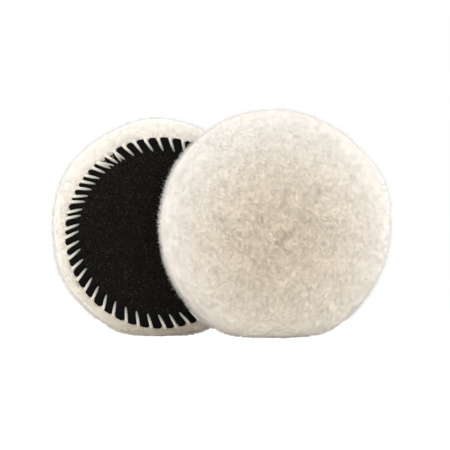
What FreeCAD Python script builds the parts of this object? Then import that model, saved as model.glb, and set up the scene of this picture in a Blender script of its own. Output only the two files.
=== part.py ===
"""A pair of lambswool polishing pads, standing on edge back to back.

Each pad is a disc of sheepskin with its clipped wool, backed with a black looped fabric that grips a
hook-faced backing plate. White whip stitches go over the edge of the skin and the fabric all the way
round. The rear pad's back looks along -Y and the front pad's wool looks along -Y, so the two backs face
each other across a gap. Units are millimetres and degrees. +Z is up, and the origin is on the floor
under the middle of the pair.

A pad is first built in its own frame: its axis is +Y, its loop face lies in the plane y = 0 and its wool
grows towards +Y. Angles are counted anticlockwise as seen from the loop side.
"""

import FreeCAD
import Part
import math
import os

# Round sizes of a pad
LOOP_DISC_DIAMETER = 150.0
WOOL_RING_WIDTH = 15.0  # how far the wool bulges beyond the disc

# Layers, from the loop face to the wool
LOOP_PILE_HEIGHT = 2.4
GROUND_CLOTH_THICKNESS = 0.6
FOAM_THICKNESS = 2.0
HIDE_THICKNESS = 1.8
WOOL_HEIGHT = 28.0  # from the hide to the middle of the wool face

# Shape of the wool
WOOL_LIP_DEPTH = 1.2  # the wool beside the disc starts this far in front of the loop face
WOOL_WIDEST_LEVEL = 16.0  # how far from the loop face the wool is widest
WOOL_FACE_CROWN = 3.0  # the edge of the wool face lies this far below its middle
WOOL_FACE_EDGE_INSET = 16.0  # from the widest radius in to the edge of the wool face
FLOOR_SQUASH = 4.0  # how much of the wool's radius the floor presses flat

# Whip stitches
THREAD_DIAMETER = 2.2
STITCH_REACH = 9.0  # from the disc's edge in to the needle holes
STITCH_PITCH = 8.4  # mean distance between stitches along the disc's edge
STITCH_SLANT = 27.0  # from the radial direction, outer end anticlockwise
STITCH_BEND_RADIUS = 1.4  # of the thread's centre line where it turns
WIDEST_PITCH_ANGLE = 241.0  # hand spacing is widest and most even here and opposite
PITCH_DRIFT = 0.25  # how much wider the spacing is there, and narrower a quarter turn on
PITCH_WANDER = 0.12  # share of a pitch by which single stitches stray a quarter turn on
SEAM_START_ANGLE = 124.0  # where the seam starts and ends
LOCK_SEARCH_ARC = 8.0  # the lock stitches lie within this of the seam's start
LOCK_STITCHES = 2

# Clearances
THREAD_CLEARANCE = 0.1  # round the thread, in its holes and against the layers
WOOL_CLEARANCE = 0.3  # between the thread and the wool

# The pair
PADS_APART_X = 89.0  # between the two pads' axes
BACKS_GAP = 14.0  # between the two loop faces

AXIS = FreeCAD.Vector(0, 1, 0)
UP = FreeCAD.Vector(0, 0, 1)

# Worked out from the driving dimensions
disc_radius = LOOP_DISC_DIAMETER / 2
wool_radius = disc_radius + WOOL_RING_WIDTH
thread_radius = THREAD_DIAMETER / 2
hole_radius = thread_radius + THREAD_CLEARANCE
cloth_level = LOOP_PILE_HEIGHT
foam_level = cloth_level + GROUND_CLOTH_THICKNESS
hide_level = foam_level + FOAM_THICKNESS
wool_level = hide_level + HIDE_THICKNESS
stitch_back_level = cloth_level - hole_radius
stitch_wool_level = wool_level + hole_radius
needle_circle = disc_radius - STITCH_REACH
edge_leg_circle = disc_radius + hole_radius
axis_height = wool_radius - FLOOR_SQUASH


def turned(radius, angle, level=0.0):
    """The point at this radius, angle and distance from the loop face."""
    a = math.radians(angle)
    return FreeCAD.Vector(radius * math.cos(a), level, radius * math.sin(a))


def layer(level, thickness):
    """A round layer of the pad that starts at this distance from the loop face."""
    return Part.makeCylinder(disc_radius, thickness, AXIS * level, AXIS)


def stitch_angles():
    """The angle of each needle hole. Hand sewing wanders, so the spacing is uneven."""
    count = round(math.pi * LOOP_DISC_DIAMETER / STITCH_PITCH)
    angles = []
    for i in range(count):
        even = 360 * i / count
        twice_past = 2 * math.radians(even - WIDEST_PITCH_ANGLE)
        drift = math.degrees(PITCH_DRIFT / 2 * math.sin(twice_past))
        stray = PITCH_WANDER * (1 - math.cos(twice_past)) / 2 * math.sin(3 * i)
        angles.append(even + drift + stray * 360 / count)
    return angles


def lock_angles(angles):
    """The angles of the extra stitches: the middles of the widest spaces near the seam's start."""
    spaces = []
    for here, after in zip(angles, angles[1:]):
        middle = (here + after) / 2
        if abs(middle - SEAM_START_ANGLE) < LOCK_SEARCH_ARC:
            spaces.append((after - here, middle))
    return [middle for _, middle in sorted(spaces, reverse=True)[:LOCK_STITCHES]]


def stitch_line():
    """The inner and outer ends of the stitch whose needle hole is at angle 0."""
    shift = (edge_leg_circle - needle_circle) * math.tan(math.radians(STITCH_SLANT))
    outer_angle = math.degrees(shift / edge_leg_circle)
    return turned(needle_circle, 0), turned(edge_leg_circle, outer_angle)


def stitch_loop():
    """One stitch as a closed loop of thread round the edge of the layers, at angle 0."""
    inner, outer = stitch_line()
    along = (outer - inner).normalize()
    bend = STITCH_BEND_RADIUS
    corners = [
        (inner + AXIS * stitch_back_level, along, AXIS),
        (outer + AXIS * stitch_back_level, AXIS, -along),
        (outer + AXIS * stitch_wool_level, -along, -AXIS),
        (inner + AXIS * stitch_wool_level, -AXIS, along),
    ]
    edges = []
    for i, (corner, ahead, inward) in enumerate(corners):
        start = corner + inward * bend
        end = corner + ahead * bend
        middle = corner + (ahead + inward) * bend * (1 - math.sqrt(0.5))
        edges.append(Part.Arc(start, middle, end).toShape())
        next_corner, _, next_inward = corners[(i + 1) % len(corners)]
        edges.append(Part.LineSegment(end, next_corner + next_inward * bend).toShape())
    path = Part.Wire(edges)
    section = Part.Wire(Part.makeCircle(thread_radius, edges[1].Vertexes[0].Point, along))
    return path.makePipe(Part.Face(section))


def round_the_pad(shape, angles):
    """Copies of a shape that was made at angle 0, one at each angle."""
    copies = []
    for angle in angles:
        copy = shape.copy()
        copy.rotate(FreeCAD.Vector(), -AXIS, angle)
        copies.append(copy)
    return copies


def needle_hole():
    """The hole that the needle makes through all the layers, at angle 0."""
    return Part.makeCylinder(hole_radius, wool_level, turned(needle_circle, 0), AXIS)


def thread_slot():
    """The channel that a stitch presses into the loops, at angle 0, from the hole past the edge."""
    inner, outer = stitch_line()
    past_edge = (outer - inner).Length + THREAD_DIAMETER
    slot = Part.makeBox(past_edge, LOOP_PILE_HEIGHT, 2 * hole_radius)
    slot.translate(FreeCAD.Vector(0, 0, -hole_radius))
    lean = math.degrees(math.atan2(outer.z - inner.z, outer.x - inner.x))
    slot.rotate(FreeCAD.Vector(), -AXIS, lean)
    slot.translate(inner)
    return slot


def wool_solid():
    """The wool: a domed face, a round bulging rim that laps the disc's edge, and a flat foot."""
    recess_level = stitch_wool_level + thread_radius + WOOL_CLEARANCE
    recess_inner = needle_circle - hole_radius - WOOL_CLEARANCE
    lip_radius = edge_leg_circle + thread_radius + WOOL_CLEARANCE
    face_radius = wool_radius - WOOL_FACE_EDGE_INSET
    face_level = wool_level + WOOL_HEIGHT
    face_edge_level = face_level - WOOL_FACE_CROWN

    def at(radius, level):
        return FreeCAD.Vector(radius, level, 0)

    def quarter(start, end, corner):
        """The middle of the elliptic quarter from start to end that bulges towards corner."""
        return (start + end) * (1 - math.sqrt(0.5)) + corner * (math.sqrt(2) - 1)

    foot = at(0, wool_level)
    recess = [at(recess_inner, wool_level), at(recess_inner, recess_level)]
    lip = [at(lip_radius, recess_level), at(lip_radius, WOOL_LIP_DEPTH)]
    widest = at(wool_radius, WOOL_WIDEST_LEVEL)
    shoulder = at(face_radius, face_edge_level)
    crown = at(0, face_level)
    outline = [foot, *recess, *lip]
    edges = [Part.LineSegment(a, b).toShape() for a, b in zip(outline, outline[1:])]
    under = quarter(lip[1], widest, at(wool_radius, WOOL_LIP_DEPTH))
    over = quarter(widest, shoulder, at(wool_radius, face_edge_level))
    ball_radius = (face_radius ** 2 + WOOL_FACE_CROWN ** 2) / (2 * WOOL_FACE_CROWN)
    half_way = face_radius / 2
    dome = at(half_way, face_level - ball_radius + math.sqrt(ball_radius ** 2 - half_way ** 2))
    edges.append(Part.Arc(lip[1], under, widest).toShape())
    edges.append(Part.Arc(widest, over, shoulder).toShape())
    edges.append(Part.Arc(shoulder, dome, crown).toShape())
    edges.append(Part.LineSegment(crown, foot).toShape())
    wool = Part.Face(Part.Wire(edges)).revolve(FreeCAD.Vector(), AXIS, 360)
    side = 4 * wool_radius
    below_floor = Part.makeBox(side, side, side)
    below_floor.translate(FreeCAD.Vector(-side / 2, -side / 2, -axis_height - side))
    return wool.cut(below_floor)


def pad_pieces():
    """All the solids of one pad in its own frame, by name."""
    angles = stitch_angles()
    locks = lock_angles(angles)
    every = angles + locks
    holes = round_the_pad(needle_hole(), every)
    slots = round_the_pad(thread_slot(), every)
    loop = stitch_loop()
    return {
        "loop_face": layer(0, LOOP_PILE_HEIGHT).cut(holes).cut(slots),
        "ground_cloth": layer(cloth_level, GROUND_CLOTH_THICKNESS).cut(holes),
        "foam_lining": layer(foam_level, FOAM_THICKNESS).cut(holes),
        "hide": layer(hide_level, HIDE_THICKNESS).cut(holes),
        "wool_pile": wool_solid(),
        "edge_stitches": Part.makeCompound(round_the_pad(loop, angles)),
        "lock_stitches": Part.makeCompound(round_the_pad(loop, locks)),
    }


def main():
    """Builds the pad once and stands it twice: rear pad back to the front, front pad wool to the front."""
    os.makedirs("parts", exist_ok=True)
    places = {
        "rear": (FreeCAD.Vector(-PADS_APART_X / 2, BACKS_GAP / 2, axis_height), 0),
        "front": (FreeCAD.Vector(PADS_APART_X / 2, -BACKS_GAP / 2, axis_height), 180),
    }
    pieces = pad_pieces()
    for pad, (place, turn) in places.items():
        for name, shape in pieces.items():
            piece = shape.copy()
            piece.rotate(FreeCAD.Vector(), UP, turn)
            piece.translate(place)
            piece.exportStep(f"parts/{pad}_{name}.step")
            box = piece.optimalBoundingBox()
            print(f"{pad}_{name}: {len(piece.Solids)} solids, valid {piece.isValid()},",
                  f"volume {piece.Volume:.0f}, z {box.ZMin:.2f} to {box.ZMax:.2f}")


main()
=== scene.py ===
"""A pair of lambswool polishing pads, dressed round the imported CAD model.

The rear pad shows its black looped back with white whip stitches, the front pad its clipped wool. Each
pad is modelled in a frame of its own, in millimetres: x to the right as seen from the back, level from
the loop face towards the wool, z up from the pad's axis. PadPlace turns that into the object's frame.
"""

import logging
import math
from collections.abc import Iterator
from contextlib import contextmanager
from dataclasses import dataclass, field
from enum import Enum

import bpy
import numpy as np
from mathutils.kdtree import KDTree
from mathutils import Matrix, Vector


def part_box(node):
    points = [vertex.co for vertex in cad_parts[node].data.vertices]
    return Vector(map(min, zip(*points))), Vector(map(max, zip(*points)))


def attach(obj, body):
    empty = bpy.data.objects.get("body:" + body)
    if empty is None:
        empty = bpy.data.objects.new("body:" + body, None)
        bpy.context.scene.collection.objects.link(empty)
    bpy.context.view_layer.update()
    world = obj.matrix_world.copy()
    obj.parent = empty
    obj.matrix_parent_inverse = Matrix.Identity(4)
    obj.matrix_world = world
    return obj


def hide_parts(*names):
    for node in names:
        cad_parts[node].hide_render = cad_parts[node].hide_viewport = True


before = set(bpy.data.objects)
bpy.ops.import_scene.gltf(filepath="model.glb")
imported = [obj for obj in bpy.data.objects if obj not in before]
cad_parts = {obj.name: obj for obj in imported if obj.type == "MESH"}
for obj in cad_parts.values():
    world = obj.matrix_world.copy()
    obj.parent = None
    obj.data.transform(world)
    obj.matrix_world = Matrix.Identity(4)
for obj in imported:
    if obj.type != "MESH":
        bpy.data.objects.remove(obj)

MM = 0.001
WHITE = (1.0, 1.0, 1.0)
LOG = logging.getLogger("polishing_pads")


# ---------------------------------------------------------------- places and shared helpers


class Pad(Enum):
    """The two pads of the pair."""

    REAR = "rear"
    FRONT = "front"


@dataclass(frozen=True)
class PadPlace:
    """Where a pad stands, and its main sizes in millimetres, read from its CAD nodes."""

    pad: Pad

    def named(self, piece: str) -> str:
        """Gives a piece's full name, such as front_hide."""
        return f"{self.pad.value}_{piece}"

    def box(self, piece: str) -> np.ndarray:
        """Gives the low and high corners of one of the pad's CAD nodes, in millimetres."""
        return np.array(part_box(self.named(piece))) / MM

    @property
    def body(self) -> str:
        """The name of the pad's CAD body."""
        return self.named("pad")

    @property
    def turn(self) -> float:
        """1 where the wool looks along +Y, and -1 where the pad is turned half round."""
        return 1.0 if self.pad is Pad.REAR else -1.0

    @property
    def disc_radius(self) -> float:
        """The radius of the looped disc."""
        low, high = self.box("loop_face")
        return float(high[0] - low[0]) / 2

    @property
    def wool_radius(self) -> float:
        """The widest radius of the wool."""
        low, high = self.box("wool_pile")
        return float(high[0] - low[0]) / 2

    @property
    def axis_height(self) -> float:
        """The height of the pad's axis above the floor."""
        return float(self.box("loop_face")[:, 2].mean())

    def level_of(self, piece: str, wool_side: bool) -> float:
        """Gives the level of one side of a CAD node.

        Args:
            piece: the node's name without the pad's.
            wool_side: True for the side towards the wool.

        Returns:
            The distance from the loop face, in millimetres.
        """
        back = self.back_y
        levels = sorted(self.turn * (y - back) for y in self.box(piece)[:, 1])
        return float(levels[1] if wool_side else levels[0])

    @property
    def back_y(self) -> float:
        """The place of the loop face along Y."""
        low, high = self.box("loop_face")
        return float(low[1] if self.turn > 0 else high[1])

    def place(self, local: np.ndarray) -> np.ndarray:
        """Turns points of the pad's own frame into the object's frame.

        Args:
            local: points (n, 3) as x, level, z in millimetres.

        Returns:
            The points in metres.
        """
        axis_x = float(self.box("loop_face")[:, 0].mean())
        world = local * np.array([self.turn, self.turn, 1.0])
        return (world + np.array([axis_x, self.back_y, self.axis_height])) * MM


class Noise:
    """Smooth noise that is the same on every run."""

    CELLS = 32

    def __init__(self, seed: int) -> None:
        """Fills the lattice with random values from -1 to 1."""
        shape = (self.CELLS,) * 3
        self.values = np.random.default_rng(seed).uniform(-1.0, 1.0, shape)

    def at(self, points: np.ndarray, size: float) -> np.ndarray:
        """Reads the noise at points.

        Args:
            points: places (n, 3) in millimetres.
            size: the size of one bump in millimetres.

        Returns:
            A value from -1 to 1 for each point.
        """
        scaled = points / size
        low = np.floor(scaled).astype(int)
        part = scaled - low
        part = part * part * (3.0 - 2.0 * part)
        total = np.zeros(len(points))
        for corner in np.ndindex(2, 2, 2):
            step = np.array(corner)
            weight = np.prod(np.where(step == 1, part, 1.0 - part), axis=1)
            cell = (low + step) % self.CELLS
            total += weight * self.values[cell[:, 0], cell[:, 1], cell[:, 2]]
        return total


def round_axis(radius: np.ndarray | float, level: np.ndarray | float, angle: np.ndarray) -> np.ndarray:
    """Gives points (n, 3) of a pad's own frame from radii, levels and angles in radians."""
    levels = level + np.zeros(len(angle))
    return np.stack([radius * np.cos(angle), levels, radius * np.sin(angle)], axis=1)


def off_axis(points: np.ndarray) -> np.ndarray:
    """Gives how far points (n, 3) of a pad's own frame lie from its axis."""
    return np.hypot(points[:, 0], points[:, 2])


@contextmanager
def editing() -> Iterator[None]:
    """Keeps the active mesh in edit mode.

    Returns:
        A context, for a with statement.
    """
    bpy.ops.object.mode_set(mode="EDIT")
    yield
    bpy.ops.object.mode_set(mode="OBJECT")


def unit(vectors: np.ndarray) -> np.ndarray:
    """Scales each vector (n, 3) to length 1."""
    return vectors / np.maximum(np.linalg.norm(vectors, axis=-1, keepdims=True), 1e-9)


def ramp(values: np.ndarray, low: float, high: float) -> np.ndarray:
    """Rises smoothly from 0 at low to 1 at high."""
    part = np.clip((values - low) / (high - low), 0.0, 1.0)
    return part * part * (3.0 - 2.0 * part)


def new_piece(name: str, points: np.ndarray, faces: np.ndarray) -> bpy.types.Object:
    """Makes a smooth-shaded mesh object.

    Args:
        name: the piece's name.
        points: corners (n, 3) in metres, in the object's frame.
        faces: corner numbers (m, 3) or (m, 4).

    Returns:
        The object, linked to the scene.
    """
    mesh = bpy.data.meshes.new(name)
    mesh.vertices.add(len(points))
    mesh.vertices.foreach_set("co", points.astype(np.float32).ravel())
    mesh.loops.add(faces.size)
    mesh.loops.foreach_set("vertex_index", faces.astype(np.int32).ravel())
    mesh.polygons.add(len(faces))
    mesh.polygons.foreach_set("loop_start", np.arange(0, faces.size, faces.shape[1], dtype=np.int32))
    mesh.polygons.foreach_set("use_smooth", np.ones(len(faces), dtype=bool))
    mesh.update(calc_edges=True)
    piece = bpy.data.objects.new(name, mesh)
    bpy.context.scene.collection.objects.link(piece)
    return piece


def soften(piece: bpy.types.Object, normals: np.ndarray) -> None:
    """Shades the corners of a piece as if its surface looked along the normals (n, 3)."""
    piece.data.normals_split_custom_set_from_vertices(unit(normals).tolist())


def set_mask(piece: bpy.types.Object, name: str, values: np.ndarray) -> None:
    """Stores one number per corner of a piece, for its material to read."""
    layer = piece.data.attributes.new(name, "FLOAT", "POINT")
    layer.data.foreach_set("value", values.astype(np.float32))


def corners_of(piece: bpy.types.Object) -> np.ndarray:
    """Reads the corners of a piece's mesh.

    Args:
        piece: the mesh object.

    Returns:
        The corners (n, 3) in metres.
    """
    values = np.empty(len(piece.data.vertices) * 3, dtype=np.float32)
    piece.data.vertices.foreach_get("co", values)
    return values.reshape(-1, 3).astype(float)


def move_corners(piece: bpy.types.Object, points: np.ndarray) -> None:
    """Moves the corners of a piece's mesh to new places, in metres."""
    piece.data.vertices.foreach_set("co", points.astype(np.float32).ravel())
    piece.data.update()


def turn_outwards(piece: bpy.types.Object) -> None:
    """Makes all the faces of a closed piece point outwards.

    Args:
        piece: the mesh object, which becomes the active one.
    """
    bpy.ops.object.select_all(action="DESELECT")
    piece.select_set(True)
    bpy.context.view_layer.objects.active = piece
    with editing():
        bpy.ops.mesh.select_all(action="SELECT")
        bpy.ops.mesh.normals_make_consistent(inside=False)


def tubes(lines: np.ndarray, radii: np.ndarray, sides: int) -> tuple[np.ndarray, np.ndarray]:
    """Makes closed tapering tubes along many lines at once. Each ends in a point.

    Args:
        lines: centre lines (n, k, 3).
        radii: the tube's radius at each of a line's first k - 1 points, (n, k - 1).
        sides: how many sides a tube has.

    Returns:
        The corners (n * (sides * (k - 1) + 1), 3), line by line, and the triangles.
    """
    count, steps, _ = lines.shape
    ahead = unit(np.gradient(lines, axis=1))
    across = unit(np.cross(ahead, np.array([0.31, 0.83, 0.47])))
    third = np.cross(ahead, across)
    turns = 2 * np.pi * np.arange(sides) / sides
    ring = (across[:, :-1, None] * np.cos(turns)[:, None] + third[:, :-1, None] * np.sin(turns)[:, None])
    rings = lines[:, :-1, None] + ring * radii[:, :, None, None]
    each = sides * (steps - 1) + 1
    points = np.concatenate([rings.reshape(count, -1, 3), lines[:, -1:]], axis=1).reshape(-1, 3)
    here = np.arange(sides)
    after = (here + 1) % sides
    one = []
    for step in range(steps - 2):
        low, high = step * sides, (step + 1) * sides
        one += [np.stack([low + here, low + after, high + after], 1)]
        one += [np.stack([low + here, high + after, high + here], 1)]
    top = (steps - 2) * sides
    one += [np.stack([top + here, top + after, np.full(sides, each - 1)], 1)]
    one += [np.stack([np.zeros(sides - 2, int), here[2:], here[1:-1]], 1)]
    single = np.concatenate(one)
    faces = (single[None] + each * np.arange(count)[:, None, None]).reshape(-1, 3)
    return points, faces


# ---------------------------------------------------------------- materials


class Nodes:
    """A short hand for building a shader node tree."""

    def __init__(self, tree: bpy.types.NodeTree) -> None:
        """Keeps the tree that nodes are added to."""
        self.tree = tree

    def add(self, kind: str, **settings: object) -> bpy.types.Node:
        """Adds a node and sets its properties.

        Args:
            kind: the node's type name without ShaderNode.
            settings: the node's properties by name.

        Returns:
            The node.
        """
        node = self.tree.nodes.new(f"ShaderNode{kind}")
        for name, value in settings.items():
            setattr(node, name, value)
        return node

    def link(self, start: bpy.types.NodeSocket, end: bpy.types.NodeSocket) -> None:
        """Links an output to an input."""
        self.tree.links.new(start, end)

    def feed(self, socket: bpy.types.NodeSocket, value: object) -> None:
        """Links an output to an input, or sets the input.

        Args:
            socket: the input.
            value: an output to link, a number or a colour of three numbers.
        """
        if isinstance(value, bpy.types.NodeSocket):
            self.link(value, socket)
        else:
            socket.default_value = (*value, 1.0) if isinstance(value, tuple) else value

    def value_of(self, name: str) -> bpy.types.NodeSocket:
        """Gives the output of an Attribute node for one of a piece's masks."""
        return self.add("Attribute", attribute_name=name).outputs["Fac"]

    def math(self, operation: str, *inputs: object) -> bpy.types.NodeSocket:
        """Adds a Math node.

        Args:
            operation: the operation's name.
            inputs: numbers, or outputs to link.

        Returns:
            The node's output.
        """
        node = self.add("Math", operation=operation)
        for socket, value in zip(node.inputs, inputs):
            self.feed(socket, value)
        return node.outputs[0]

    def mix(self, share: object, first: object, second: object) -> bpy.types.NodeSocket:
        """Mixes two colours.

        Args:
            share: how much of the second, a number or an output.
            first: the first colour, as three numbers or an output.
            second: the second colour, as three numbers or an output.

        Returns:
            The mixed colour.
        """
        node = self.add("Mix", data_type="RGBA")
        # The node has sockets of the same names for each kind of data. These are the colour's.
        for number, value in ((0, share), (6, first), (7, second)):
            self.feed(node.inputs[number], value)
        return node.outputs[2]

    def clamp(self, value: bpy.types.NodeSocket) -> bpy.types.NodeSocket:
        """Keeps a value from 0 to 1.

        Args:
            value: the output to limit.

        Returns:
            The limited output.
        """
        node = self.add("Clamp")
        self.link(value, node.inputs["Value"])
        return node.outputs[0]


def grain_group() -> bpy.types.ShaderNodeTree:
    """Builds the fibre grain that every textile of the pad shares, once.

    Returns:
        A group with Coarse and Fine sizes in bumps per metre, and Mask and Height outputs.
    """
    name = "fibre_grain"
    if name in bpy.data.node_groups:
        return bpy.data.node_groups[name]
    group = bpy.data.node_groups.new(name, "ShaderNodeTree")
    number = "NodeSocketFloat"
    for socket, default in (("Coarse", 300.0), ("Fine", 1500.0)):
        group.interface.new_socket(socket, in_out="INPUT", socket_type=number).default_value = default
    for socket in ("Mask", "Height"):
        group.interface.new_socket(socket, in_out="OUTPUT", socket_type=number)
    nodes = Nodes(group)
    inputs, outputs = group.nodes.new("NodeGroupInput"), group.nodes.new("NodeGroupOutput")
    place = nodes.add("TexCoord").outputs["Object"]
    coarse = nodes.add("TexNoise", noise_dimensions="3D")
    fine = nodes.add("TexNoise", noise_dimensions="3D")
    for texture, size in ((coarse, "Coarse"), (fine, "Fine")):
        nodes.link(place, texture.inputs["Vector"])
        nodes.link(inputs.outputs[size], texture.inputs["Scale"])
        texture.inputs["Detail"].default_value = 3.0
    fine_part = nodes.math("MULTIPLY", fine.outputs["Fac"], 0.4)
    both = nodes.math("MULTIPLY_ADD", coarse.outputs["Fac"], 0.6, fine_part)
    steep = nodes.add("MapRange")
    nodes.link(both, steep.inputs["Value"])
    steep.inputs["From Min"].default_value = 0.35
    steep.inputs["From Max"].default_value = 0.65
    nodes.link(steep.outputs[0], outputs.inputs["Mask"])
    nodes.link(both, outputs.inputs["Height"])
    return group


@dataclass(frozen=True)
class Finish:
    """What every finish of the pad has: a name and the sockets that are the same all over."""

    name: str
    roughness: float = 0.9
    specular: float = 0.3
    sheen: float = 0.0
    sheen_tint: tuple[float, float, float] = WHITE
    subsurface: float = 0.0
    subsurface_reach: tuple[float, float, float] = (0.003, 0.003, 0.003)
    coarse: float = 300.0
    fine: float = 1500.0
    bump: float = 0.3
    bump_depth: float = 0.0003

    def colour(self, nodes: Nodes, grain: bpy.types.Node) -> bpy.types.NodeSocket:
        """Builds the colour, which each finish has its own way of doing.

        Args:
            nodes: the material's nodes.
            grain: the fibre grain node in the material.

        Returns:
            The output that feeds Base Color.
        """
        raise NotImplementedError

    def build(self) -> bpy.types.Material:
        """Builds the material, or finds the one already built.

        Returns:
            The material.
        """
        if self.name in bpy.data.materials:
            return bpy.data.materials[self.name]
        material = bpy.data.materials.new(self.name)
        material.use_nodes = True
        nodes = Nodes(material.node_tree)
        shader = material.node_tree.nodes["Principled BSDF"]
        settings = {"Roughness": self.roughness, "Specular IOR Level": self.specular,
                    "Sheen Weight": self.sheen, "Sheen Tint": self.sheen_tint,
                    "Subsurface Weight": self.subsurface, "Subsurface Scale": 1.0}
        for socket, value in settings.items():
            nodes.feed(shader.inputs[socket], value)
        shader.inputs["Subsurface Radius"].default_value = self.subsurface_reach
        grain = nodes.add("Group", node_tree=grain_group())
        nodes.feed(grain.inputs["Coarse"], self.coarse)
        nodes.feed(grain.inputs["Fine"], self.fine)
        nodes.link(self.colour(nodes, grain), shader.inputs["Base Color"])
        if self.bump > 0:
            bump = nodes.add("Bump")
            nodes.feed(bump.inputs["Strength"], self.bump)
            nodes.feed(bump.inputs["Distance"], self.bump_depth)
            nodes.link(grain.outputs["Height"], bump.inputs["Height"])
            nodes.link(bump.outputs["Normal"], shader.inputs["Normal"])
        return material

    def dress(self, piece: bpy.types.Object) -> None:
        """Puts the finish on a piece, in place of what it wore."""
        piece.data.materials.clear()
        piece.data.materials.append(self.build())


@dataclass(frozen=True)
class WoolFinish(Finish):
    """Wool: cream at the tips and beige down between the tufts, partly its own warmer colour there and
    partly painted shade; whiter towards the rim, with a painted sheen at the edge.
    """

    tip: tuple[float, float, float] = (0.925, 0.875, 0.79)
    # Deep in the tufts and at the locks' roots: partly the wool's own warmer colour, partly painted
    # shade.
    valley: tuple[float, float, float] = (0.71, 0.635, 0.52)
    shoulder: tuple[float, float, float] = (0.735, 0.687, 0.612)
    rim: tuple[float, float, float] = (0.755, 0.737, 0.706)
    # The painted sheen's colour, which Layer Weight mixes into the base colour where the wool turns out
    # of sight.
    edge: tuple[float, float, float] = (1.0, 0.99, 0.97)
    tone_weight: float = 0.5  # how much the mask tone counts towards the colour of the tips
    rim_weight: float = 0.16
    grain_weight: float = 0.18
    darkening: float = 0.3
    shoulder_gain: float = 1.4  # how soon the shoulder colour takes over towards the rim
    rim_start: float = 0.6  # where the mask rim starts to bring in the rim colour
    painted_sheen_power: float = 3.0  # the higher, the narrower the painted sheen at the edge

    def colour(self, nodes: Nodes, grain: bpy.types.Node) -> bpy.types.NodeSocket:
        """Mixes valley, tip, shoulder and rim colours by the masks tip, tone and rim.

        A painted sheen makes the wool palest where it turns out of sight: Layer Weight mixes the edge
        colour into the base colour.

        Args:
            nodes: the material's nodes.
            grain: the fibre grain node in the material.

        Returns:
            The output that feeds Base Color.
        """
        rim = nodes.value_of("rim")
        tip, tone = nodes.value_of("tip"), nodes.value_of("tone")
        toned = nodes.math("MULTIPLY_ADD", tone, self.tone_weight, tip)
        toned = nodes.math("MULTIPLY_ADD", rim, self.rim_weight, toned)
        toned = nodes.math("SUBTRACT", toned, self.darkening)
        toned = nodes.math("MULTIPLY_ADD", grain.outputs["Mask"], self.grain_weight, toned)
        face = nodes.mix(nodes.clamp(toned), self.valley, self.tip)
        shoulder = nodes.math("MINIMUM", nodes.math("MULTIPLY", rim, self.shoulder_gain), 1.0)
        face = nodes.mix(shoulder, face, self.shoulder)
        steep = 1.0 / (1.0 - self.rim_start)
        outermost = nodes.math("MULTIPLY_ADD", rim, steep, -steep * self.rim_start)
        face = nodes.mix(nodes.math("MAXIMUM", outermost, 0.0), face, self.rim)
        # Painted sheen: the base colour turns paler where the surface turns away from the view.
        turned_away = nodes.math("POWER", nodes.add("LayerWeight").outputs["Facing"], self.painted_sheen_power)
        painted_sheen = nodes.math("MULTIPLY", turned_away, nodes.math("MULTIPLY_ADD", rim, 0.6, 0.4))
        return nodes.mix(painted_sheen, face, self.edge)


@dataclass(frozen=True)
class LoopFinish(Finish):
    """Black looped cloth: warm black and grainy inside, cooler and smoother where it is pulled tight."""

    dark: tuple[float, float, float] = (0.0018, 0.0016, 0.0015)
    light: tuple[float, float, float] = (0.0110, 0.0102, 0.0094)
    bright: tuple[float, float, float] = (0.060, 0.056, 0.052)
    tight: tuple[float, float, float] = (0.0035, 0.0035, 0.0036)

    def colour(self, nodes: Nodes, grain: bpy.types.Node) -> bpy.types.NodeSocket:
        """Mixes dark and light by the grain, bright by the mask tone and tight by the mask tight.

        Args:
            nodes: the material's nodes.
            grain: the fibre grain node in the material.

        Returns:
            The output that feeds Base Color.
        """
        pile = nodes.mix(grain.outputs["Mask"], self.dark, self.light)
        pile = nodes.mix(nodes.value_of("tone"), pile, self.bright)
        return nodes.mix(nodes.value_of("tight"), pile, self.tight)


@dataclass(frozen=True)
class PlainFinish(Finish):
    """A finish of two colours that the grain mixes, for the skin and the lining."""

    first: tuple[float, float, float] = (0.5, 0.5, 0.5)
    second: tuple[float, float, float] = (0.6, 0.6, 0.6)

    def colour(self, nodes: Nodes, grain: bpy.types.Node) -> bpy.types.NodeSocket:
        """Mixes the two colours by the grain."""
        return nodes.mix(grain.outputs["Mask"], self.first, self.second)


@dataclass(frozen=True)
class ThreadFinish(Finish):
    """White thread, with painted shade that greys it where it sinks into the black loops."""

    # Painted shade: the thread's colour where it sinks into the loops.
    sunk: tuple[float, float, float] = (0.19, 0.205, 0.19)
    clean: tuple[float, float, float] = (0.60, 0.59, 0.54)

    def colour(self, nodes: Nodes, grain: bpy.types.Node) -> bpy.types.NodeSocket:
        """Mixes the sunk thread's painted shade into the thread's colour, by how far each corner lies
        past its needle hole, and by the grain.
        """
        share = nodes.math("MULTIPLY_ADD", grain.outputs["Mask"], 0.15, nodes.value_of("clean"))
        return nodes.mix(nodes.clamp(share), self.sunk, self.clean)


WOOL = WoolFinish("wool_body", sheen=0.25, sheen_tint=(1.0, 0.97, 0.92), subsurface=0.15,
                  coarse=260.0, fine=1400.0, bump=0.25, bump_depth=0.0006)
LOCKS = WoolFinish("wool_locks", sheen=0.2, sheen_tint=(1.0, 0.97, 0.92), subsurface=0.5,
                   coarse=260.0, fine=1400.0, bump=0.0)
LOOPS = LoopFinish("black_loops", roughness=0.9, specular=0.04, sheen=0.02,
                   coarse=900.0, fine=2600.0, bump=0.8, bump_depth=0.0005)
THREAD = ThreadFinish("sewing_thread", roughness=0.6, specular=0.35, sheen=0.2,
                      coarse=900.0, fine=4000.0, bump=0.4, bump_depth=0.0002)
SKIN = PlainFinish("tanned_skin", roughness=0.7, first=(0.62, 0.52, 0.38), second=(0.74, 0.65, 0.5))
LINING = PlainFinish("black_foam", first=(0.03, 0.03, 0.03), second=(0.06, 0.06, 0.06), coarse=900.0)


# ---------------------------------------------------------------- wool


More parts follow.
